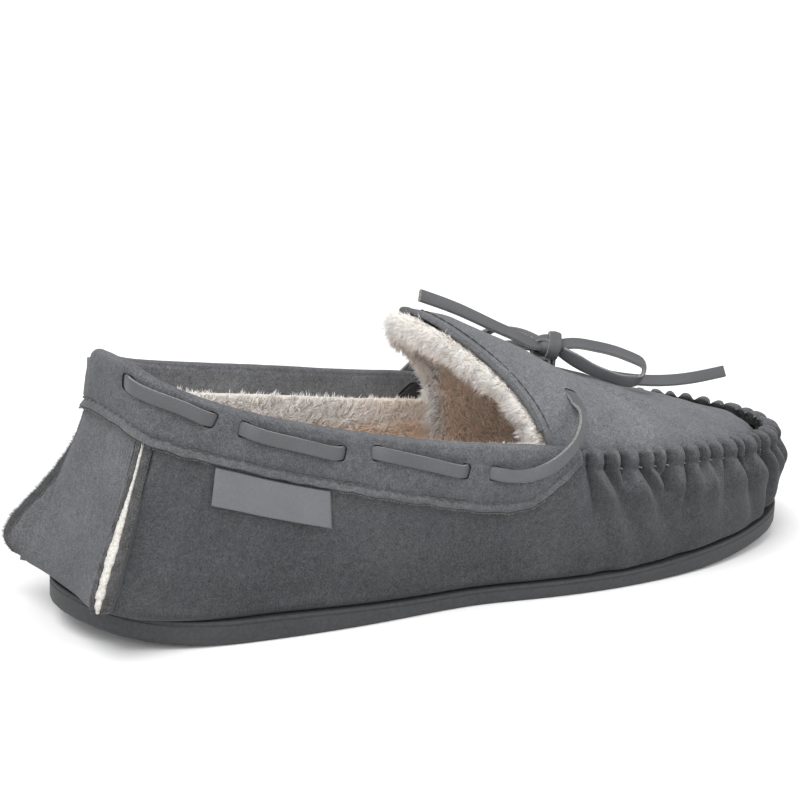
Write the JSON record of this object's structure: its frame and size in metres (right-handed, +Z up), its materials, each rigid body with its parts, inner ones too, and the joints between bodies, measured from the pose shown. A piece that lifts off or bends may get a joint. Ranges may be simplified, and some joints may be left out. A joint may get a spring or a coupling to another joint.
{
  "type": "moccasin house slipper",
  "caption": "Suede moccasin house slipper with a faux-fur lining, a laced collar tied in a bow at the instep, a gathered toe seam and a thin rubber outsole.",
  "frame": {"origin": "middle of the slipper's box in plan, at the height of the ground under the flat of the outsole", "axes": "+X towards the toe, +Y towards the inner (medial) side of the foot, +Z up; a right-foot slipper"},
  "size_m": [0.2902, 0.0988, 0.0951],
  "materials": {
    "outsole_rubber": "moulded rubber-like outsole, matte",
    "suede": "grey brushed suede with a short fuzzy nap",
    "felt": "off-white felt interlining",
    "stiffener": "pressed stiffener sheet, hidden",
    "fur": "long-pile faux fur, cream at the tips and tan at the roots",
    "foam": "soft foam, hidden",
    "board": "pressed fibre board, hidden",
    "lace_leather": "smooth grey leather strap with lighter cut edges"
  },
  "bodies": {
    "slipper": {"outsole": "outsole_rubber", "side_wall": "suede", "heel_panel": "suede", "apron": "suede", "collar": "suede", "tongue_edge_roll": "suede", "heel_seam_felt_lateral": "felt", "heel_seam_felt_medial": "felt", "heel_counter": "stiffener", "quarter_lining": "fur", "vamp_lining": "fur", "footbed_plush": "fur", "footbed_foam": "foam", "insole_board": "board", "lace": "lace_leather", "lace_knot": "lace_leather"},
    "label_tab": {"label": "lace_leather"},
    "lateral_loop": {"bow_loop_lateral": "lace_leather"},
    "medial_loop": {"bow_loop_medial": "lace_leather"},
    "front_end": {"lace_end_front": "lace_leather"},
    "rear_end": {"lace_end_rear": "lace_leather"}
  },
  "joints": [
    {"name": "label_lift", "type": "hinge", "parent": "slipper", "child": "label_tab", "pos_m": [-0.10335, -0.02998, 0.05502], "axis": [-0.9478, 0.1619, 0.2747], "range_deg": [0, 75]},
    {"name": "lateral_loop_lift", "type": "hinge", "parent": "slipper", "child": "lateral_loop", "pos_m": [0.0491, -0.0037, 0.0742], "axis": [-0.5656, -0.8247, 0], "range_deg": [0, 30]},
    {"name": "medial_loop_lift", "type": "hinge", "parent": "slipper", "child": "medial_loop", "pos_m": [0.0392, 0.0065, 0.0756], "axis": [0.9538, 0.3004, 0], "range_deg": [0, 30]},
    {"name": "front_end_lift", "type": "hinge", "parent": "slipper", "child": "front_end", "pos_m": [0.0484, -0.0005, 0.069], "axis": [-0.0773, -0.997, 0], "range_deg": [0, 35]},
    {"name": "rear_end_lift", "type": "hinge", "parent": "slipper", "child": "rear_end", "pos_m": [0.0344, 0, 0.0746], "axis": [0.1416, 0.9899, 0], "range_deg": [0, 25]}
  ]
}
